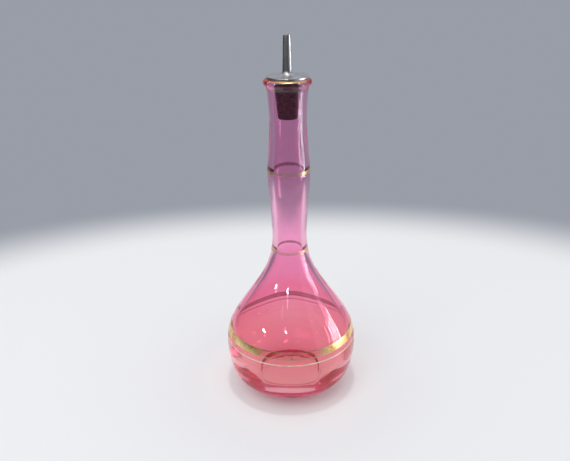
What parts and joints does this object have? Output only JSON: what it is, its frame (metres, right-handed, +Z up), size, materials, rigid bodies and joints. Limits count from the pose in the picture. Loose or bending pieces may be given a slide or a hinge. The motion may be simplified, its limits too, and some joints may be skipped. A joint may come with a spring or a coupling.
{
  "type": "barber bottle",
  "caption": "Round-bodied long-necked pink glass barber bottle with fired gilt bands, stopped by a tapered cork that carries a metal pourer with a slim spout.",
  "frame": {"origin": "middle of the resting ring, on the plane that the bottle stands on", "axes": "+Z up along the axis of the bottle, towards the spout; +X towards the high side of the spout's slanted tip"},
  "size_m": [0.0904, 0.0904, 0.2434],
  "materials": {
    "ruby_glass": "clear pink-ruby blown glass, glossy",
    "fired_gilt": "thin fired gold, worn and patchy",
    "cork": "old stained cork, matte",
    "white_metal": "dull cast white metal, lightly pitted"
  },
  "bodies": {
    "bottle": {"glass_bottle": "ruby_glass", "gilt_body_band": "fired_gilt", "gilt_body_line": "fired_gilt", "gilt_shoulder_ring": "fired_gilt", "gilt_neck_band": "fired_gilt", "gilt_lip_band": "fired_gilt"},
    "stopper": {"cork": "cork"},
    "pourer": {"pourer": "white_metal"}
  },
  "joints": [
    {"name": "stopper_lift", "type": "slide", "parent": "bottle", "child": "stopper", "axis": [0, 0, 1], "range_m": [0, 0.06]},
    {"name": "pourer_turn", "type": "hinge", "parent": "stopper", "child": "pourer", "pos_m": [0, 0, 0.2174], "axis": [0, 0, 1], "continuous": true}
  ]
}
